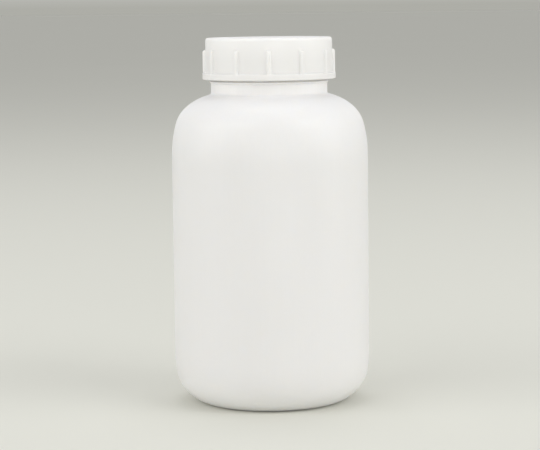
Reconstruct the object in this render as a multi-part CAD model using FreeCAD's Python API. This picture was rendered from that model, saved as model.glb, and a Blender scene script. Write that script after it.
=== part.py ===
import FreeCAD, Part
import math
import os

# Wide-mouth reagent bottle with a screw cap, one litre class.
# Millimetres, +Z up. The origin is the centre of the ring that the bottle stands on.
# The cap is modelled screwed fully down.

V = FreeCAD.Vector
UP = V(0, 0, 1)
ORIGIN = V(0, 0, 0)

# ---- driving dimensions -------------------------------------------------------------

overall_height = 181.1

# Bottle body, blow moulded
body_radius = 48.8
wall = 1.4                        # thickness of the body, shoulder and base
heel_corner_radius = 4.0          # small arc from the standing ring up into the heel
heel_corner_angle = 16.0          # degrees
heel_radius = 19.4                # main arc of the heel
heel_ease_radius = 61.0           # upper arc that eases the heel into the straight wall
heel_ease_angle = 7.2             # degrees
wall_top = 122.7                  # height at which the shoulder begins
shoulder_arcs = ((61.7, 14.6), (17.7, 36.2), (28.2, 21.8))   # radius, degrees turned
push_up = 2.7                     # rise of the middle of the base
push_up_bend = 7.0                # radius of the two bends of the step up
standing_ring = 2.5               # width of the flat ring that touches the table
pinch_length = 46.0               # pinch-off line that the mould leaves across the base
pinch_width = 1.2
pinch_height = 0.7
pinch_lowest = 0.4                # the line stays this far above the table

# Neck finish
neck_radius = 28.85               # plain neck below the cap, and the root of the thread
mouth_radius = 26.4
neck_fillet = 1.2                 # shoulder to neck, outside
mouth_fillet = 3.0                # shoulder to neck, inside
bead_reach = 0.9                  # support bead just under the cap
bead_height = 1.6
bead_top = 160.3
rim_round = 0.6

# Thread, single start, right hand, the same section on the neck and in the cap
thread_pitch = 6.0
thread_depth = 1.0
thread_base = 3.2                 # axial width at the root
thread_crest = 1.2                # axial width at the crest
thread_fade = 40.0                # degrees over which each end runs out
thread_step = 15.0                # degrees between the sections of the ridge
thread_clearance = 0.3            # radial, crest to opposite root
flank_clearance = 0.3             # axial, between the loaded flanks
neck_thread_start = 164.9         # height of the ridge's middle where it begins
neck_thread_turns = 1.6
cap_thread_angle = 20.0           # degrees round from the start of the neck's thread
cap_thread_turns = 1.5

# Cap, injection moulded
cap_radius = 31.35                # upper wall, at the top
cap_draft = 0.15                  # growth of the upper wall down to the flange
cap_panel = 1.6                   # thickness of the top
cap_edge_round = 1.4
rib_count = 12
rib_reach = 32.75                 # radius over the ribs
rib_width = 2.2
rib_top = 175.2
flange_radius = 33.0
flange_bottom = 160.7
flange_height = 3.0
flange_round = 0.5
gate_radius = 1.5                 # moulding gate mark in the middle of the top
gate_depth = 0.25

# Sealing insert, soft, held in the cap
insert_disc = 1.2                 # thickness of the disc that lies on the rim
insert_radius = 29.8
insert_gap = 0.12                 # disc to cap, and disc to rim
skirt_depth = 7.0
skirt_wall = 1.1
skirt_gap = 0.15                  # skirt to mouth
skirt_lead = 2.2                  # height of the tapered lower end of the skirt
skirt_taper = 0.6
stiffener_radius = 14.0           # middle of the ring under the disc
stiffener_width = 1.2
stiffener_depth = 0.8
snap_gap = 0.15                   # cap's snap bead to the underside of the disc
snap_overlap = 0.45               # how far the bead reaches in under the disc
snap_height = 0.8

# ---- dimensions that follow ---------------------------------------------------------

cap_ceiling = overall_height - cap_panel
disc_top = cap_ceiling - insert_gap
disc_bottom = disc_top - insert_disc
rim_height = disc_bottom - insert_gap
cap_bore = neck_radius + thread_depth + thread_clearance

# Parallel flanks meet when the middles of the two ridges are this far apart.
flank_share = thread_clearance / thread_depth
flank_contact = (thread_crest + thread_base - flank_share * (thread_base - thread_crest)) / 2
cap_thread_drop = flank_contact + flank_clearance
cap_thread_start = neck_thread_start + thread_pitch * cap_thread_angle / 360 - cap_thread_drop

push_up_angle = math.degrees(math.acos(1 - push_up / (2 * push_up_bend)))
push_up_run = 2 * push_up_bend * math.sin(math.radians(push_up_angle))
heel_corner = math.radians(heel_corner_angle)
heel_ease = math.radians(heel_ease_angle)
heel_width = (
    heel_corner_radius * math.sin(heel_corner)
    + heel_radius * (math.cos(heel_ease) - math.sin(heel_corner))
    + heel_ease_radius * (1 - math.cos(heel_ease))
)
ring_outer = body_radius - heel_width
push_up_flat = ring_outer - standing_ring - push_up_run


class Outline:
    """Half of a turned section, drawn by a pen in the XZ plane from the axis outwards.

    The pen has a radius, a height and a heading in degrees: 0 is outwards, 90 is up.
    """

    def __init__(self, height, heading=0.0):
        self.r = 0.0
        self.z = height
        self.start = V(0, 0, height)
        self.heading = heading
        self.edges = []

    def to(self, r, z):
        """Straight to a radius and height."""
        begin = V(self.r, 0, self.z)
        self.r = r
        self.z = z
        self.edges.append(Part.makeLine(begin, V(r, 0, z)))
        return self

    def out_to(self, r):
        """Straight on along the heading until the radius is r."""
        slope = math.tan(math.radians(self.heading))
        return self.to(r, self.z + (r - self.r) * slope)

    def up_to(self, z):
        """Straight up or down."""
        return self.to(self.r, z)

    def bend(self, radius, degrees):
        """An arc tangent to the heading, to the left if degrees is positive."""
        side = math.copysign(radius, degrees)
        begin = V(self.r, 0, self.z)
        turn = math.radians(self.heading)
        centre_r = self.r - side * math.sin(turn)
        centre_z = self.z + side * math.cos(turn)

        def on_arc(angle):
            a = math.radians(angle)
            return V(centre_r + side * math.sin(a), 0, centre_z - side * math.cos(a))

        middle = on_arc(self.heading + degrees / 2)
        end = on_arc(self.heading + degrees)
        self.edges.append(Part.Arc(begin, middle, end).toShape())
        self.heading += degrees
        self.r = end.x
        self.z = end.z
        return self

    def solid(self):
        """Close the section along the axis and turn it about Z."""
        self.to(0, self.z)
        self.edges.append(Part.makeLine(V(0, 0, self.z), self.start))
        section = Part.Face(Part.Wire(self.edges))
        return section.revolve(ORIGIN, UP, 360)


def ring(points):
    """A ring whose section is a closed polygon of (radius, height) points."""
    corners = [V(r, 0, z) for r, z in points]
    section = Part.Face(Part.makePolygon(corners + corners[:1]))
    return section.revolve(ORIGIN, UP, 360)


def thread_ridge(root, outward, start_height, start_angle, turns):
    """The helical ridge on a wall of radius root, fading out at both ends.

    outward is 1 on the neck and -1 inside the cap.
    """
    sink = 0.3                    # the ridge is rooted this deep in its wall
    lowest_share = 0.05           # of the full section, at the very ends
    swept = turns * 360
    sections = []
    for step in range(int(round(swept / thread_step)) + 1):
        along = step * thread_step
        rise = min(1.0, along / thread_fade, (swept - along) / thread_fade)
        share = lowest_share + (1 - lowest_share) * math.sin(math.pi / 2 * rise)
        angle = math.radians(start_angle + along)
        middle = start_height + thread_pitch * along / 360
        foot = root - outward * sink
        crest = foot + outward * share * (thread_depth + sink)
        corners = []
        for r, width in ((foot, -thread_base), (crest, -thread_crest),
                         (crest, thread_crest), (foot, thread_base)):
            corners.append(V(r * math.cos(angle), r * math.sin(angle), middle + width / 2))
        sections.append(Part.makePolygon(corners + corners[:1]))
    return Part.makeLoft(sections, True, False)


def body_outline(inset):
    """The bottle's skin from the middle of the base to the end of the shoulder.

    inset moves it inwards from the outside by that much, all the way round.
    """
    pen = Outline(push_up + inset)
    pen.out_to(push_up_flat)
    pen.bend(push_up_bend + inset, -push_up_angle)
    pen.bend(push_up_bend - inset, push_up_angle)
    pen.out_to(ring_outer)
    pen.bend(heel_corner_radius - inset, heel_corner_angle)
    pen.bend(heel_radius - inset, 90 - heel_corner_angle - heel_ease_angle)
    pen.bend(heel_ease_radius - inset, heel_ease_angle)
    pen.up_to(wall_top)
    for radius, degrees in shoulder_arcs:
        pen.bend(radius - inset, degrees)
    return pen


def rise_into_neck(pen, fillet, radius):
    """Carry the shoulder's slope on to the neck and turn up it, ending at that radius."""
    turn = pen.heading - 90
    pen.out_to(radius + fillet * (1 - math.cos(math.radians(turn))))
    pen.bend(fillet, -turn)


def bottle():
    outside = body_outline(0)
    rise_into_neck(outside, neck_fillet, neck_radius)
    outside.up_to(rim_height - rim_round)
    outside.bend(rim_round, 90)
    blank = outside.solid()

    pinch = Part.makeBox(
        pinch_length, pinch_width, push_up - pinch_lowest + wall / 2,
        V(-pinch_length / 2, -pinch_width / 2, pinch_lowest),
    )
    below_base = body_outline(-pinch_height).solid()
    blank = blank.fuse(pinch.common(below_base))

    inside = body_outline(wall)
    rise_into_neck(inside, mouth_fillet, mouth_radius)
    inside.up_to(rim_height - rim_round)
    inside.bend(rim_round, -90)
    inside.up_to(rim_height + 1)
    shell = blank.cut(inside.solid())

    bead_bottom = bead_top - bead_height
    bead_arc = Part.Arc(
        V(neck_radius, 0, bead_bottom),
        V(neck_radius + bead_reach, 0, bead_top - bead_height / 2),
        V(neck_radius, 0, bead_top),
    ).toShape()
    root = neck_radius - wall / 2
    bead_back = Part.makePolygon([
        V(neck_radius, 0, bead_top), V(root, 0, bead_top),
        V(root, 0, bead_bottom), V(neck_radius, 0, bead_bottom),
    ])
    bead = Part.Face(Part.Wire([bead_arc] + bead_back.Edges)).revolve(ORIGIN, UP, 360)

    ridge = thread_ridge(neck_radius, 1, neck_thread_start, 0, neck_thread_turns)
    return shell.fuse([bead, ridge])


def screw_cap():
    outer = Outline(flange_bottom)
    outer.out_to(flange_radius - flange_round)
    outer.bend(flange_round, 90)
    outer.up_to(flange_bottom + flange_height - flange_round)
    outer.bend(flange_round, 90)
    outer.out_to(cap_radius + cap_draft)
    outer.to(cap_radius, overall_height - cap_edge_round)
    outer.heading = 90
    outer.bend(cap_edge_round, 90)
    cap = outer.solid()

    half_rib = rib_width / 2
    rib_middle = rib_reach - half_rib
    rib_foot = flange_bottom + flange_height / 2
    post = Part.makeCylinder(half_rib, rib_top - half_rib - rib_foot, V(rib_middle, 0, rib_foot))
    dome = Part.makeSphere(half_rib, V(rib_middle, 0, rib_top - half_rib))
    rib = post.fuse(dome).removeSplitter()
    first_rib = -90
    ribs = []
    for number in range(rib_count):
        turned = rib.copy()
        turned.rotate(ORIGIN, UP, first_rib + number * 360 / rib_count)
        ribs.append(turned)
    cap = cap.fuse(ribs)

    bore = Part.makeCylinder(cap_bore, cap_ceiling - flange_bottom + 1, V(0, 0, flange_bottom - 1))
    gate = Part.makeCylinder(gate_radius, gate_depth + 1, V(0, 0, overall_height - gate_depth))
    cap = cap.cut([bore, gate])

    snap_top = disc_bottom - snap_gap
    snap_bead = ring([
        (cap_bore + cap_panel / 4, snap_top),
        (insert_radius - snap_overlap, snap_top - snap_height / 3),
        (insert_radius - snap_overlap, snap_top - snap_height * 2 / 3),
        (cap_bore + cap_panel / 4, snap_top - snap_height),
    ])
    ridge = thread_ridge(cap_bore, -1, cap_thread_start, cap_thread_angle, cap_thread_turns)
    return cap.fuse([snap_bead, ridge])


def seal_insert():
    skirt_radius = mouth_radius - skirt_gap
    skirt_inner = skirt_radius - skirt_wall
    skirt_bottom = disc_bottom - skirt_depth
    disc = Part.makeCylinder(insert_radius, insert_disc, V(0, 0, disc_bottom))
    skirt = ring([
        (skirt_inner, disc_bottom + insert_disc / 2),
        (skirt_inner, skirt_bottom),
        (skirt_radius - skirt_taper, skirt_bottom),
        (skirt_radius, skirt_bottom + skirt_lead),
        (skirt_radius, disc_bottom + insert_disc / 2),
    ])
    stiffener = ring([
        (stiffener_radius - stiffener_width / 2, disc_bottom + insert_disc / 2),
        (stiffener_radius - stiffener_width / 2, disc_bottom - stiffener_depth),
        (stiffener_radius + stiffener_width / 2, disc_bottom - stiffener_depth),
        (stiffener_radius + stiffener_width / 2, disc_bottom + insert_disc / 2),
    ])
    return disc.fuse([skirt, stiffener])


def main():
    os.makedirs("parts", exist_ok=True)
    for make in (bottle, seal_insert, screw_cap):
        shape = make().removeSplitter()
        shape.exportStep("parts/" + make.__name__ + ".step")
        print(make.__name__, "valid", shape.isValid(), "solids", len(shape.Solids),
              "mm3", round(shape.Volume))


main()
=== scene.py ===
import bpy
import math
from mathutils import Matrix, Vector, noise


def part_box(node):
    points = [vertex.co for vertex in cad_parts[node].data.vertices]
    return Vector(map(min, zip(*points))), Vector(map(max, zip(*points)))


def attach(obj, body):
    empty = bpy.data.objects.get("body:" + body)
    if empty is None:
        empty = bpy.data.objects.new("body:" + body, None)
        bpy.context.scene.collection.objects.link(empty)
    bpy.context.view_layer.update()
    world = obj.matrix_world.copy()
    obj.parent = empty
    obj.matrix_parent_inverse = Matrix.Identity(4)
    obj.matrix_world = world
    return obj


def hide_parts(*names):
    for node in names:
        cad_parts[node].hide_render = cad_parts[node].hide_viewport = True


# A wide-mouth plastic reagent bottle, its ribbed screw cap and the sealing insert inside the cap.
# Every mesh is a closed shell turned about the bottle's axis, with threads, ribs and mould marks
# raised from it. Sizes are in millimetres until turned() writes them in metres. The materials,
# lights and camera are in metres throughout.

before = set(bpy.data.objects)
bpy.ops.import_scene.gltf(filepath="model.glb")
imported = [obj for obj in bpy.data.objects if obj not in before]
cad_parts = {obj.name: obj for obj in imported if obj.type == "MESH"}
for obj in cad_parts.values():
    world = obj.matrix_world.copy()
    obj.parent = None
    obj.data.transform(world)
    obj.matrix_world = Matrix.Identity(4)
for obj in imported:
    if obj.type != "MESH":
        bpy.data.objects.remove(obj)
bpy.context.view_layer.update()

MM = 0.001


def in_mm(node):
    low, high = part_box(node)
    return low / MM, high / MM


bottle_low, bottle_high = in_mm("bottle")
cap_low, cap_high = in_mm("screw_cap")
insert_low, insert_high = in_mm("seal_insert")

# ---- sizes of the bottle --------------------------------------------------------------

BODY_RADIUS = bottle_high.x
RIM_HEIGHT = bottle_high.z
WALL = 1.4
HEEL_CORNER_RADIUS = 4.0      # small arc up from the standing ring
HEEL_CORNER_ANGLE = 16.0
HEEL_RADIUS = 19.4            # main arc of the heel
HEEL_EASE_RADIUS = 61.0       # long arc that eases it into the wall
HEEL_EASE_ANGLE = 7.2
WALL_TOP = 122.7
SHOULDER_ARCS = ((61.7, 14.6), (17.7, 36.2), (28.2, 21.8))    # radius, degrees turned
PUSH_UP = 2.7                 # the middle of the base is this much higher than its ring
PUSH_UP_BEND = 7.0
STANDING_RING = 2.5           # width of the flat ring that it stands on
NECK_RADIUS = 28.85
MOUTH_RADIUS = 26.4
NECK_FILLET = 1.2
MOUTH_FILLET = 3.0
BEAD_REACH = 0.9
BEAD_HEIGHT = 1.6
BEAD_TOP = 160.3
RIM_ROUND = 0.6
BOTTLE_COLUMNS = 240

# ---- mould marks on the bottle --------------------------------------------------------

PINCH_HALF_LENGTH = 23.0
PINCH_FOOT_HALF = 0.75        # half width at its foot
PINCH_CREST_HALF = 0.45       # half width at its crest
PINCH_HEIGHT = 0.7
PINCH_END = 3.0               # length over which each end runs out
SEAM_HALF_WIDTH = 0.28
SEAM_HEIGHT = 0.09
SEAM_END = 3.0                # height over which it starts at the base
WAVE_DEPTH = 0.07             # slow unevenness that a blown wall always has
WAVE_LENGTH = 26.0
WAVE_STRETCH = 0.6            # under 1 makes the waves taller than they are wide
WAVE_BOTTOM = 3.0             # there are none below this height
WAVE_RISE = 15.0              # they grow over this height above it
WAVE_FALL = 12.0              # and die away over this height under the neck's bead

# ---- the thread -----------------------------------------------------------------------

THREAD_PITCH = 6.0
THREAD_DEPTH = 1.0
THREAD_BASE = 3.2
THREAD_CREST = 1.2
THREAD_FADE = 40.0            # degrees over which each end runs out
THREAD_CLEARANCE = 0.3
FLANK_CLEARANCE = 0.3
NECK_THREAD_START = 164.9
NECK_THREAD_TURNS = 1.6
CAP_THREAD_ANGLE = 20.0
CAP_THREAD_TURNS = 1.5
THREAD_ROW = 0.28             # spacing of mesh rows across a thread

# ---- sizes of the cap -----------------------------------------------------------------

CAP_TOP = cap_high.z
CAP_BOTTOM = cap_low.z
CAP_RADIUS = 31.35
CAP_DRAFT = 0.15
CAP_PANEL = 1.6
CAP_EDGE_ROUND = 1.4
CAP_SINK = 0.12               # the flat top sinks this much towards its middle
CAP_MOUTH_LEAD = 0.5          # chamfer at the bottom of the bore
RIB_COUNT = 12
RIB_REACH = 32.75
RIB_CREST_HALF = 0.5          # half width of a rib's rounded crest
RIB_FOOT_HALF = 1.45          # half width where its fillets meet the wall
RIB_TOP = 175.2
RIB_END_ROUND = 1.3
FLANGE_RADIUS = cap_high.x
FLANGE_HEIGHT = 3.0
FLANGE_ROUND = 0.5
FLANGE_FILLET = 0.35          # between the flange's ledge and the wall
GATE_RADIUS = 1.5
GATE_DEPTH = 0.25
GATE_DIMPLE = (               # share of the radius, share of the depth
    (1.08, 0.0), (1.0, 0.1), (0.94, 0.85), (0.86, 1.0), (0.5, 1.0), (0.2, 0.9), (0.0, 0.9),
)

# ---- sizes of the insert --------------------------------------------------------------

DISC_RADIUS = insert_high.x
DISC_TOP = insert_high.z
DISC_THICKNESS = 1.2
SKIRT_BOTTOM = insert_low.z
SKIRT_GAP = 0.15
SKIRT_WALL = 1.1
SKIRT_LEAD = 2.2
SKIRT_TAPER = 0.6
STIFFENER_RADIUS = 14.0
STIFFENER_WIDTH = 1.2
STIFFENER_DEPTH = 0.8
INSERT_ROUND = 0.2
INSERT_COLUMNS = 216
SNAP_GAP = 0.15
SNAP_OVERLAP = 0.45           # the cap's snap bead reaches this far under the insert's edge
SNAP_HEIGHT = 0.8

CAP_CEILING = CAP_TOP - CAP_PANEL
CAP_BORE = NECK_RADIUS + THREAD_DEPTH + THREAD_CLEARANCE
DISC_BOTTOM = DISC_TOP - DISC_THICKNESS


# ---- drawing and turning sections -----------------------------------------------------

def smooth(t):
    """0 up to t = 0, 1 from t = 1, with no corner between."""
    t = min(1.0, max(0.0, t))
    return t * t * (3 - 2 * t)


def bulge(share):
    """How far a bead stands out across its width: 0 at both edges and 1 in the middle."""
    return math.sin(math.pi * share) ** 1.5


class Pen:
    """Draws half of a section as mesh rows, from the axis outwards.

    Heading 0 is outwards and 90 is up. Each row is (radius, height, relief), where relief names
    what is raised from that row.
    """

    SPACING = 2.5             # longest step along a straight
    SUPPORT = 0.15            # rows this near the ends of a straight hold its edges crisp
    SUPPORT_SHARE = 0.4       # they are left out if this share of a step is shorter
    CHORD = 1.3               # longest step along an arc
    ARC_STEPS = 5             # fewest steps in an arc

    def __init__(self, z, relief="plain"):
        self.r = 0.0
        self.z = z
        self.heading = 0.0
        self.relief = relief
        self.rows = [(0.0, z, relief)]

    def mark(self, r, z):
        self.r = r
        self.z = z
        self.rows.append((r, z, self.relief))

    def run(self, r, z, spacing=SPACING):
        """Straight to a radius and height."""
        from_r, from_z = self.r, self.z
        length = math.hypot(r - from_r, z - from_z)
        steps = max(1, math.ceil(length / spacing))
        stops = [step / steps for step in range(1, steps)]
        support = self.SUPPORT / length
        if support < self.SUPPORT_SHARE / steps:
            stops = [support] + stops + [1 - support]
        for share in stops + [1.0]:
            self.mark(from_r + (r - from_r) * share, from_z + (z - from_z) * share)
        return self

    def out(self, r, spacing=SPACING):
        """Straight on along the heading until the radius is r."""
        slope = math.tan(math.radians(self.heading))
        return self.run(r, self.z + (r - self.r) * slope, spacing)

    def up(self, z, spacing=SPACING):
        """Straight up or down."""
        return self.run(self.r, z, spacing)

    def bend(self, radius, degrees):
        """An arc tangent to the heading, to the left if degrees is positive."""
        side = math.copysign(radius, degrees)
        turn = math.radians(self.heading)
        centre_r = self.r - side * math.sin(turn)
        centre_z = self.z + side * math.cos(turn)
        length = radius * abs(math.radians(degrees))
        steps = max(self.ARC_STEPS, math.ceil(length / self.CHORD))
        for step in range(1, steps + 1):
            a = math.radians(self.heading + degrees * step / steps)
            self.mark(centre_r + side * math.sin(a), centre_z - side * math.cos(a))
        self.heading += degrees
        return self


def turned(name, rows, angles, reliefs):
    """A closed mesh turned about Z from rows that begin and end on the axis.

    reliefs maps a row's relief to a function of (angle, radius, height) that gives how far the
    row moves outwards and upwards there.
    """
    vertices = []
    rings = []
    for r, z, relief in rows:
        ring = []
        for angle in angles if r > 0 else angles[:1]:
            outwards, upwards = reliefs[relief](angle, r, z)
            a = math.radians(angle)
            radius = (r + outwards) * MM if r > 0 else 0.0
            ring.append(len(vertices))
            vertices.append((radius * math.cos(a), radius * math.sin(a), (z + upwards) * MM))
        rings.append(ring)
    faces = []
    count = len(angles)
    for below, above in zip(rings, rings[1:]):
        for i in range(count):
            j = (i + 1) % count
            if len(below) == 1:
                faces.append((below[0], above[j], above[i]))
            elif len(above) == 1:
                faces.append((below[i], below[j], above[0]))
            else:
                faces.append((below[i], below[j], above[j], above[i]))
    mesh = bpy.data.meshes.new(name)
    mesh.from_pydata(vertices, [], faces)
    mesh.polygons.foreach_set("use_smooth", [True] * len(faces))
    mesh.update()
    piece = bpy.data.objects.new(name, mesh)
    bpy.context.scene.collection.objects.link(piece)
    return piece


def nothing(angle, r, z):
    return 0.0, 0.0


def thread_height(angle, z, start_height, start_angle, turns):
    """How far a thread stands off its wall at an angle and height."""
    swept = turns * 360
    along = (angle - start_angle) % 360
    tallest = 0.0
    while along <= swept:
        middle = start_height + THREAD_PITCH * along / 360
        end_share = min(1.0, along / THREAD_FADE, (swept - along) / THREAD_FADE)
        flank = (THREAD_BASE / 2 - abs(z - middle)) / ((THREAD_BASE - THREAD_CREST) / 2)
        height = THREAD_DEPTH * math.sin(math.pi / 2 * end_share) * smooth(flank)
        tallest = max(tallest, height)
        along += 360
    return tallest


# ---- the bottle -----------------------------------------------------------------------

def body_outline(inset, relief):
    """The bottle's skin from the middle of the base to the end of the shoulder."""
    middle_rows = (0.3, 0.6, 1.0, 1.5)
    base_spacing = 1.6
    step_angle = math.degrees(math.acos(1 - PUSH_UP / (2 * PUSH_UP_BEND)))
    step_run = 2 * PUSH_UP_BEND * math.sin(math.radians(step_angle))
    corner = math.radians(HEEL_CORNER_ANGLE)
    ease = math.radians(HEEL_EASE_ANGLE)
    heel_width = HEEL_CORNER_RADIUS * math.sin(corner)
    heel_width += HEEL_RADIUS * (math.cos(ease) - math.sin(corner))
    heel_width += HEEL_EASE_RADIUS * (1 - math.cos(ease))
    ring_outer = BODY_RADIUS - heel_width
    pen = Pen(PUSH_UP + inset, "base" if relief else "plain")
    for r in middle_rows:
        pen.mark(r, pen.z)
    pen.out(ring_outer - STANDING_RING - step_run, base_spacing)
    pen.bend(PUSH_UP_BEND + inset, -step_angle)
    pen.bend(PUSH_UP_BEND - inset, step_angle)
    pen.out(ring_outer)
    pen.relief = relief or "plain"
    pen.bend(HEEL_CORNER_RADIUS - inset, HEEL_CORNER_ANGLE)
    pen.bend(HEEL_RADIUS - inset, 90 - HEEL_CORNER_ANGLE - HEEL_EASE_ANGLE)
    pen.bend(HEEL_EASE_RADIUS - inset, HEEL_EASE_ANGLE)
    pen.up(WALL_TOP)
    for radius, degrees in SHOULDER_ARCS:
        pen.bend(radius - inset, degrees)
    return pen


def rise_into_neck(pen, fillet, radius):
    """Carry the shoulder's slope on to the neck and turn up it, ending at that radius."""
    turn = pen.heading - 90
    pen.out(radius + fillet * (1 - math.cos(math.radians(turn))))
    pen.bend(fillet, -turn)


def seam_and_waves(angle, r, z):
    """The mould's parting line at +X and -X, and the slow waves of a blown wall."""
    from_seam = abs((angle + 90) % 180 - 90)
    seam = SEAM_HEIGHT * smooth(1 - math.radians(from_seam) * r / SEAM_HALF_WIDTH)
    a = math.radians(angle)
    place = Vector((r * math.cos(a), r * math.sin(a), z * WAVE_STRETCH)) / WAVE_LENGTH
    wave = WAVE_DEPTH * 0.5 * (1 + noise.noise(place))
    above_base = smooth((z - WAVE_BOTTOM) / WAVE_RISE)
    below_bead = smooth((BEAD_TOP - BEAD_HEIGHT - z) / WAVE_FALL)
    started = min(1.0, z / SEAM_END)
    return (seam - SEAM_HEIGHT) * started - wave * above_base * below_bead, 0.0


def pinch_line(angle, r, z):
    """The line across the base where the mould pinched the tube shut."""
    a = math.radians(angle)
    aside = abs(r * math.sin(a))
    across = smooth((PINCH_FOOT_HALF - aside) / (PINCH_FOOT_HALF - PINCH_CREST_HALF))
    along = smooth((PINCH_HALF_LENGTH - r) / PINCH_END)
    return 0.0, -PINCH_HEIGHT * across * along


def neck_thread(angle, r, z):
    return thread_height(angle, z, NECK_THREAD_START, 0.0, NECK_THREAD_TURNS), 0.0


def bottle_angles():
    """Even columns, with finer ones at the two parting lines."""
    near_seam = (0.0, 0.12, 0.24, 0.36, 0.7)    # degrees to either side of it
    cleared = 1
    angles = []
    for number in range(BOTTLE_COLUMNS):
        angle = number * 360 / BOTTLE_COLUMNS
        if abs((angle + 90) % 180 - 90) > cleared:
            angles.append(angle)
    for seam in (0, 180):
        for off in near_seam:
            angles.append((seam + off) % 360)
            if off > 0:
                angles.append((seam - off) % 360)
    return sorted(angles)


def make_bottle():
    outside = body_outline(0, "wall")
    rise_into_neck(outside, NECK_FILLET, NECK_RADIUS)
    bead_bottom = BEAD_TOP - BEAD_HEIGHT
    outside.up(bead_bottom)
    bead_steps = 10
    for step in range(1, bead_steps + 1):
        share = step / bead_steps
        outside.mark(NECK_RADIUS + BEAD_REACH * bulge(share), bead_bottom + BEAD_HEIGHT * share)
    outside.relief = "plain"
    outside.mark(NECK_RADIUS, BEAD_TOP + THREAD_ROW)
    outside.relief = "thread"
    outside.run(NECK_RADIUS, RIM_HEIGHT - RIM_ROUND, THREAD_ROW)
    outside.relief = "plain"
    outside.bend(RIM_ROUND, 90)
    inside = body_outline(WALL, None)
    rise_into_neck(inside, MOUTH_FILLET, MOUTH_RADIUS)
    inside.up(RIM_HEIGHT - RIM_ROUND)
    inside.bend(RIM_ROUND, -90)
    rows = outside.rows + inside.rows[::-1]
    reliefs = {"plain": nothing, "base": pinch_line, "wall": seam_and_waves, "thread": neck_thread}
    return turned("bottle_shell", rows, bottle_angles(), reliefs)


# ---- the cap --------------------------------------------------------------------------

def rib_shape(angle, r, z):
    """Ribs on the cap's wall, rounded over at the top and running down into the flange."""
    pitch = 360 / RIB_COUNT
    from_rib = abs((angle + 90 + pitch / 2) % pitch - pitch / 2)
    aside = math.radians(from_rib) * CAP_RADIUS
    across = smooth((RIB_FOOT_HALF - aside) / (RIB_FOOT_HALF - RIB_CREST_HALF))
    over = (z - (RIB_TOP - RIB_END_ROUND)) / RIB_END_ROUND
    along = math.sqrt(max(0.0, 1 - max(0.0, over) ** 2))
    wall = CAP_RADIUS + CAP_DRAFT
    ledge = 1 - max(0.0, r - wall) / (FLANGE_RADIUS - wall)
    return (RIB_REACH - min(r, wall)) * across * along * ledge, 0.0


def cap_thread(angle, r, z):
    flank_share = THREAD_CLEARANCE / THREAD_DEPTH
    contact = (THREAD_CREST + THREAD_BASE - flank_share * (THREAD_BASE - THREAD_CREST)) / 2
    start = NECK_THREAD_START + THREAD_PITCH * CAP_THREAD_ANGLE / 360 - contact - FLANK_CLEARANCE
    return -thread_height(angle, z, start, CAP_THREAD_ANGLE, CAP_THREAD_TURNS), 0.0


def cap_angles():
    """Columns set close across each rib and wider between them."""
    across = (0.0, 0.28, 0.5, 0.66, 0.82, 0.98, 1.14, 1.3, 1.5, 1.9)    # mm from a rib's middle
    between = 5
    pitch = 360 / RIB_COUNT
    angles = []
    for number in range(RIB_COUNT):
        middle = number * pitch
        offsets = [math.degrees(aside / CAP_RADIUS) for aside in across]
        for off in offsets:
            angles.append((middle + off) % 360)
            if off > 0:
                angles.append((middle - off) % 360)
        gap = pitch - 2 * offsets[-1]
        for step in range(1, between + 1):
            angles.append(middle + offsets[-1] + gap * step / (between + 1))
    return sorted(angles)


def draw_cap_inside(pen):
    """The ceiling, the snap bead that holds the insert, and the threaded bore."""
    ceiling_rows = (0.8, 3.0, 8.0, 14.0, 20.0, 25.0, 28.0)
    corner = 0.3
    beside_snap = 0.2
    snap_steps = 8
    for r in ceiling_rows:
        pen.mark(r, CAP_CEILING)
    pen.run(CAP_BORE - corner, CAP_CEILING)
    pen.bend(corner, -90)
    snap_top = DISC_BOTTOM - SNAP_GAP
    snap_reach = CAP_BORE - (DISC_RADIUS - SNAP_OVERLAP)
    pen.run(CAP_BORE, snap_top + beside_snap)
    for step in range(snap_steps + 1):
        share = step / snap_steps
        pen.mark(CAP_BORE - snap_reach * bulge(share), snap_top - SNAP_HEIGHT * share)
    pen.run(CAP_BORE, snap_top - SNAP_HEIGHT - beside_snap)
    pen.relief = "thread"
    pen.run(CAP_BORE, CAP_BOTTOM + CAP_MOUTH_LEAD, THREAD_ROW)
    pen.relief = "plain"
    pen.run(CAP_BORE + CAP_MOUTH_LEAD, CAP_BOTTOM)


def draw_cap_side(pen):
    """The flange, and the wall with its ribs up to the rounded top edge."""
    flange_spacing = 1.0
    ledge_spacing = 0.3
    wall_spacing = 1.2
    rib_end_rows = 14
    above_ribs = RIB_TOP + 0.12
    flange_top = CAP_BOTTOM + FLANGE_HEIGHT
    wall = CAP_RADIUS + CAP_DRAFT
    edge = CAP_TOP - CAP_EDGE_ROUND

    def wall_at(z):
        return wall - CAP_DRAFT * (z - flange_top) / (edge - flange_top)

    pen.run(FLANGE_RADIUS - FLANGE_ROUND, CAP_BOTTOM)
    pen.heading = 0.0
    pen.bend(FLANGE_ROUND, 90)
    pen.run(FLANGE_RADIUS, flange_top - FLANGE_ROUND, flange_spacing)
    pen.relief = "rib"
    pen.bend(FLANGE_ROUND, 90)
    pen.run(wall + FLANGE_FILLET, flange_top, ledge_spacing)
    pen.bend(FLANGE_FILLET, -90)
    rib_round_start = RIB_TOP - RIB_END_ROUND
    pen.run(wall_at(rib_round_start), rib_round_start, wall_spacing)
    for step in range(1, rib_end_rows + 1):
        z = rib_round_start + RIB_END_ROUND * math.sin(math.pi / 2 * step / rib_end_rows)
        pen.mark(wall_at(z), z)
    pen.relief = "plain"
    pen.mark(wall_at(above_ribs), above_ribs)
    pen.run(CAP_RADIUS, edge, wall_spacing)
    pen.heading = 90.0
    pen.bend(CAP_EDGE_ROUND, 90)


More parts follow.
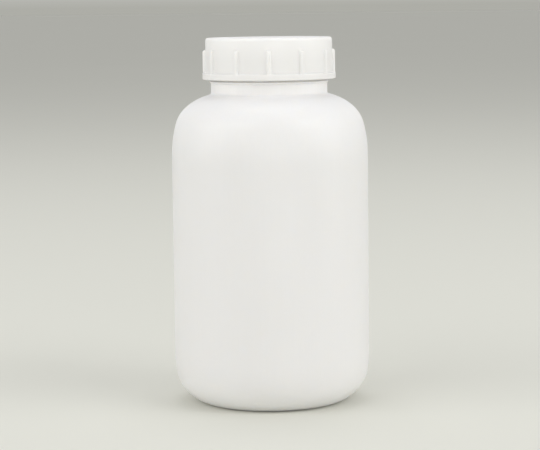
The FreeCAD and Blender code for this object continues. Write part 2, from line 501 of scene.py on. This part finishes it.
def draw_cap_top(pen):
    """The slightly sunken top, with the gate's dimple in its middle."""
    sink_rows = 12
    sunk_by = 1.5                 # the top is level again from 1 / 1.5 of the way in
    gate_edge = GATE_RADIUS * 1.3
    rim_radius = pen.r
    for step in range(1, sink_rows + 1):
        share = step / sink_rows
        r = rim_radius + (gate_edge - rim_radius) * share
        pen.mark(r, CAP_TOP - CAP_SINK * smooth(share * sunk_by))
    for across, down in GATE_DIMPLE:
        pen.mark(GATE_RADIUS * across, CAP_TOP - CAP_SINK - GATE_DEPTH * down)


def make_cap():
    pen = Pen(CAP_CEILING)
    draw_cap_inside(pen)
    draw_cap_side(pen)
    draw_cap_top(pen)
    reliefs = {"plain": nothing, "rib": rib_shape, "thread": cap_thread}
    return turned("cap_shell", pen.rows, cap_angles(), reliefs)


# ---- the sealing insert ---------------------------------------------------------------

def make_insert():
    middle_rows = (1.0, 4.0, 8.0)
    top_rows = (25.0, 20.0, 14.0, 8.0, 4.0, 1.0, 0.0)
    skirt_spacing = 1.0
    lead_spacing = 0.6
    corner = 0.5
    edge = 0.3
    skirt_radius = MOUTH_RADIUS - SKIRT_GAP
    skirt_inner = skirt_radius - SKIRT_WALL
    pen = Pen(DISC_BOTTOM)
    for r in middle_rows:
        pen.mark(r, DISC_BOTTOM)
    pen.run(STIFFENER_RADIUS - STIFFENER_WIDTH / 2 - INSERT_ROUND, DISC_BOTTOM)
    pen.bend(INSERT_ROUND, -90)
    pen.up(DISC_BOTTOM - STIFFENER_DEPTH + INSERT_ROUND)
    pen.bend(INSERT_ROUND, 90)
    pen.out(STIFFENER_RADIUS + STIFFENER_WIDTH / 2 - INSERT_ROUND)
    pen.bend(INSERT_ROUND, 90)
    pen.up(DISC_BOTTOM - INSERT_ROUND)
    pen.bend(INSERT_ROUND, -90)
    pen.out(skirt_inner - corner)
    pen.bend(corner, -90)
    pen.up(SKIRT_BOTTOM + INSERT_ROUND, skirt_spacing)
    pen.bend(INSERT_ROUND, 90)
    pen.out(skirt_radius - SKIRT_TAPER - INSERT_ROUND)
    pen.bend(INSERT_ROUND, 90 - math.degrees(math.atan(SKIRT_TAPER / SKIRT_LEAD)))
    pen.run(skirt_radius, SKIRT_BOTTOM + SKIRT_LEAD, lead_spacing)
    pen.heading = 90.0
    pen.up(DISC_BOTTOM - INSERT_ROUND, skirt_spacing)
    pen.bend(INSERT_ROUND, -90)
    pen.out(DISC_RADIUS - edge)
    pen.bend(edge, 90)
    pen.up(DISC_TOP - edge)
    pen.bend(edge, 90)
    for r in top_rows:
        pen.mark(r, DISC_TOP)
    angles = [number * 360 / INSERT_COLUMNS for number in range(INSERT_COLUMNS)]
    return turned("insert_plug", pen.rows, angles, {"plain": nothing})


# ---- materials ------------------------------------------------------------------------

class Surface:
    """A node-based material built round one Principled shader."""

    MIX_FIRST = 6             # the Mix node's colour sockets, which share names with others
    MIX_SECOND = 7
    MIX_RESULT = 2

    def __init__(self, name, settings):
        self.material = bpy.data.materials.new(name)
        self.material.use_nodes = True
        self.tree = self.material.node_tree
        self.tree.nodes.clear()
        output = self.node("ShaderNodeOutputMaterial")
        self.shader = self.node("ShaderNodeBsdfPrincipled")
        for socket, value in settings.items():
            self.shader.inputs[socket].default_value = value
        self.link(self.shader.outputs["BSDF"], output.inputs["Surface"])
        self.place = self.node("ShaderNodeTexCoord").outputs["Object"]

    def node(self, kind, **attributes):
        made = self.tree.nodes.new(kind)
        for key, value in attributes.items():
            setattr(made, key, value)
        return made

    def link(self, start, end):
        self.tree.links.new(start, end)

    def noise(self, size, stretch=(1, 1, 1), detail=2.0, roughness=0.5):
        """Noise whose grain is about size metres, longer along an axis whose stretch is over 1."""
        mapping = self.node("ShaderNodeMapping")
        mapping.inputs["Scale"].default_value = [1 / (size * s) for s in stretch]
        self.link(self.place, mapping.inputs["Vector"])
        grain = self.node("ShaderNodeTexNoise")
        grain.inputs["Scale"].default_value = 1.0
        grain.inputs["Detail"].default_value = detail
        grain.inputs["Roughness"].default_value = roughness
        self.link(mapping.outputs["Vector"], grain.inputs["Vector"])
        return grain.outputs["Fac"]

    def between(self, value, low, high, from_low=0.0, from_high=1.0):
        """A value that goes from one range, 0 to 1 unless it is given, to low and high."""
        ranged = self.node("ShaderNodeMapRange")
        ranged.inputs["From Min"].default_value = from_low
        ranged.inputs["From Max"].default_value = from_high
        ranged.inputs["To Min"].default_value = low
        ranged.inputs["To Max"].default_value = high
        self.link(value, ranged.inputs["Value"])
        return ranged.outputs["Result"]

    def mix(self, factor, first, second):
        mixed = self.node("ShaderNodeMix", data_type="RGBA")
        self.link(factor, mixed.inputs["Factor"])
        for index, colour in ((self.MIX_FIRST, first), (self.MIX_SECOND, second)):
            if isinstance(colour, bpy.types.NodeSocket):
                self.link(colour, mixed.inputs[index])
            else:
                mixed.inputs[index].default_value = (*colour, 1.0)
        return mixed.outputs[self.MIX_RESULT]

    def rising(self, low, high):
        """0 below one height and 1 above the other, or the reverse if they are swapped."""
        parts = self.node("ShaderNodeSeparateXYZ")
        self.link(self.place, parts.inputs["Vector"])
        if low < high:
            return self.between(parts.outputs["Z"], 0.0, 1.0, low, high)
        return self.between(parts.outputs["Z"], 1.0, 0.0, high, low)

    def add(self, first, second):
        total = self.node("ShaderNodeMath", operation="ADD")
        self.link(first, total.inputs[0])
        self.link(second, total.inputs[1])
        return total.outputs[0]

    def bump(self, height, distance, under=None):
        raised = self.node("ShaderNodeBump")
        raised.inputs["Strength"].default_value = 1.0
        raised.inputs["Distance"].default_value = distance
        self.link(height, raised.inputs["Height"])
        if under is not None:
            self.link(under, raised.inputs["Normal"])
        return raised.outputs["Normal"]

    def finish(self, colour, roughness, normal):
        self.link(colour, self.shader.inputs["Base Color"])
        self.link(roughness, self.shader.inputs["Roughness"])
        self.link(normal, self.shader.inputs["Normal"])
        return self.material


def bottle_plastic():
    """Natural blow-moulded polyethylene: milky, satin, a little uneven in thickness."""
    surface = Surface("natural_hdpe", {
        "IOR": 1.53,
        "Subsurface Weight": 1.0,
        "Subsurface Radius": (1.0, 0.95, 0.88),
        "Subsurface Scale": 0.0015,
    })
    thin_wall = (0.81, 0.799, 0.79)
    full_wall = (0.84, 0.829, 0.82)
    # The third colour below is painted light: paler wall at the shoulder, neck and heel to
    # brighten the shade there.
    painted_light_wall = (0.90, 0.888, 0.88)
    drawn_streak = (0.79, 0.779, 0.77)
    painted_light_rise = (0.118, 0.150)    # heights between which painted light pales the shoulder and neck, which fall in shade under the flange
    heel_painted_light_fall = (0.016, 0.0)
    thickness = surface.noise(0.030, stretch=(1, 1, 1.8), detail=1.0)
    milky = surface.mix(thickness, thin_wall, full_wall)
    # Painted light: the colour goes paler towards the neck and towards the heel, where shade
    # falls.
    painted_light_mask = surface.add(surface.rising(*painted_light_rise), surface.rising(*heel_painted_light_fall))
    wall_with_painted_light = surface.mix(painted_light_mask, milky, painted_light_wall)
    streaks = surface.noise(0.0012, stretch=(1, 1, 40), detail=1.0)
    clouded = surface.mix(surface.between(streaks, 0.0, 0.25), wall_with_painted_light, drawn_streak)
    haze = surface.noise(0.009, stretch=(1, 1, 2.5), detail=3.0, roughness=0.6)
    roughness = surface.between(haze, 0.34, 0.46, from_low=0.3, from_high=0.7)
    peel = surface.bump(surface.noise(0.0011, detail=1.5), 0.000018)
    drawn = surface.bump(streaks, 0.000012, peel)
    return surface.finish(clouded, roughness, drawn)


def cap_plastic():
    """Injection-moulded polypropylene: denser white, smoother and a little glossier."""
    surface = Surface("white_polypropylene", {
        "IOR": 1.49,
        "Subsurface Weight": 1.0,
        "Subsurface Radius": (1.0, 0.97, 0.93),
        "Subsurface Scale": 0.0005,
    })
    side_dark = (0.825, 0.817, 0.805)
    side_pale = (0.85, 0.842, 0.83)
    # The third colour below is painted light: the upper wall and top are paler as if lit from
    # above.
    painted_top_light = (0.90, 0.892, 0.88)
    top_light_rise = (0.170, 0.180)       # heights between which painted light makes the wall paler towards the top edge that catches the light from above
    flow = surface.noise(0.012, stretch=(1, 1, 2), detail=2.0)
    side = surface.mix(flow, side_dark, side_pale)
    colour = surface.mix(surface.rising(*top_light_rise), side, painted_top_light)
    scuffs = surface.noise(0.0025, stretch=(3, 3, 1), detail=3.0, roughness=0.65)
    roughness = surface.between(scuffs, 0.30, 0.40, from_low=0.35, from_high=0.65)
    grain = surface.bump(surface.noise(0.0005, detail=1.0), 0.000005)
    sink = surface.bump(surface.noise(0.007), 0.000015, grain)
    return surface.finish(colour, roughness, sink)


def insert_plastic():
    """Soft low-density polyethylene: waxy and more translucent."""
    surface = Surface("natural_ldpe", {
        "IOR": 1.51,
        "Subsurface Weight": 0.5,
        "Subsurface Radius": (1.0, 0.95, 0.88),
        "Subsurface Scale": 0.003,
    })
    cloud_dark = (0.82, 0.82, 0.8)
    cloud_pale = (0.86, 0.86, 0.845)
    colour = surface.mix(surface.noise(0.010), cloud_dark, cloud_pale)
    waxy = surface.noise(0.003)
    roughness = surface.between(waxy, 0.42, 0.54, from_low=0.3, from_high=0.7)
    soft = surface.bump(surface.noise(0.0009), 0.000012)
    return surface.finish(colour, roughness, soft)


def floor_paint():
    """Plain pale matt paper."""
    surface = Surface("pale_paper", {"IOR": 1.4, "Specular IOR Level": 0.15})
    tone_dark = (0.745, 0.745, 0.685)
    tone_pale = (0.755, 0.755, 0.694)
    colour = surface.mix(surface.noise(0.8, detail=1.0), tone_dark, tone_pale)
    fibre = surface.noise(0.002)
    roughness = surface.between(fibre, 0.85, 0.95)
    return surface.finish(colour, roughness, surface.bump(fibre, 0.00002))


# ---- stage, light and camera ----------------------------------------------------------

HORIZON = (0.42, 0.42, 0.385, 1)
ZENITH = (0.45, 0.45, 0.45, 1)
SKY_LEVELS = ((0.03, 0.74), (0.35, 0.76), (0.6, 0.50))    # sine of the height, grey level

SOFTBOXES = (
    # name, place, what it points at, width, height, watts
    ("overhead", (0.0, 0.5, 2.1), (0.0, 0.4, 0.0), 1.1, 1.1, 7.8),
    ("key_left", (-1.82, -2.17, 2.27), (0, 0, 0.05), 2.0, 1.6, 16.5),
    ("key_right", (2.17, -1.82, 2.27), (0, 0, 0.05), 1.8, 1.6, 20),
    ("left", (-2.22, -0.60, 0.93), (0, 0, 0.09), 1.2, 1.4, 11),
    ("right", (2.22, -0.60, 0.93), (0, 0, 0.09), 1.2, 1.4, 10),
    ("front", (0.35, -2.2, 0.28), (0, 0, 0.09), 1.7, 0.5, 5),
)


def make_floor():
    half = 60.0                   # so wide that its far edge is the horizon
    mesh = bpy.data.meshes.new("floor")
    corners = [(-half, -half, 0), (half, -half, 0), (half, half, 0), (-half, half, 0)]
    mesh.from_pydata(corners, [], [(0, 1, 2, 3)])
    floor = bpy.data.objects.new("floor", mesh)
    bpy.context.scene.collection.objects.link(floor)
    mesh.materials.append(floor_paint())


def make_world():
    """A grey studio surround: brightest low on the walls, dimmer above and at the horizon."""
    world = bpy.data.worlds.new("studio")
    bpy.context.scene.world = world
    world.use_nodes = True
    tree = world.node_tree
    tree.nodes.clear()
    place = tree.nodes.new("ShaderNodeTexCoord")
    parts = tree.nodes.new("ShaderNodeSeparateXYZ")
    ramp = tree.nodes.new("ShaderNodeValToRGB")
    background = tree.nodes.new("ShaderNodeBackground")
    output = tree.nodes.new("ShaderNodeOutputWorld")
    ramp.color_ramp.elements[0].color = HORIZON
    ramp.color_ramp.elements[1].color = ZENITH
    for height, level in SKY_LEVELS:
        ramp.color_ramp.elements.new(height).color = (level, level, level, 1)
    tree.links.new(place.outputs["Generated"], parts.inputs["Vector"])
    tree.links.new(parts.outputs["Z"], ramp.inputs["Fac"])
    tree.links.new(ramp.outputs["Color"], background.inputs["Color"])
    tree.links.new(background.outputs["Background"], output.inputs["Surface"])


def softbox(name, place, aim, width, height, watts):
    """A rectangular area light that points at a spot."""
    light = bpy.data.lights.new(name, "AREA")
    light.shape = "RECTANGLE"
    light.size = width
    light.size_y = height
    light.energy = watts
    lamp = bpy.data.objects.new(name, light)
    lamp.location = place
    lamp.rotation_euler = (Vector(aim) - Vector(place)).to_track_quat("-Z", "Y").to_euler()
    bpy.context.scene.collection.objects.link(lamp)


def make_camera():
    """The camera stands in front, a little above the cap, and is rolled by under a degree."""
    distance = 0.9991
    height = 0.1963
    look_down = 0.10825           # these three are in radians
    look_left = 0.00037
    roll = 0.0117
    camera = bpy.data.cameras.new("camera")
    camera.sensor_width = 36.0
    camera.lens = 134.2
    camera.clip_end = 200.0
    eye = bpy.data.objects.new("camera", camera)
    turn = Matrix.Rotation(look_left, 4, "Z") @ Matrix.Rotation(math.pi / 2 - look_down, 4, "X")
    turn = turn @ Matrix.Rotation(-roll, 4, "Z")
    eye.matrix_world = Matrix.Translation((0.0, -distance, height)) @ turn
    bpy.context.scene.collection.objects.link(eye)
    bpy.context.scene.camera = eye


def dress(piece, body, node, material):
    """Give a piece its material, and tell the frame what it moves with and stands in for."""
    piece.data.materials.append(material)
    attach(piece, body)
    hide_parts(node)


dress(make_bottle(), "bottle", "bottle", bottle_plastic())
dress(make_cap(), "cap", "screw_cap", cap_plastic())
dress(make_insert(), "insert", "seal_insert", insert_plastic())

make_floor()
make_world()
for box in SOFTBOXES:
    softbox(*box)
make_camera()

bpy.context.scene.view_settings.view_transform = "Standard"
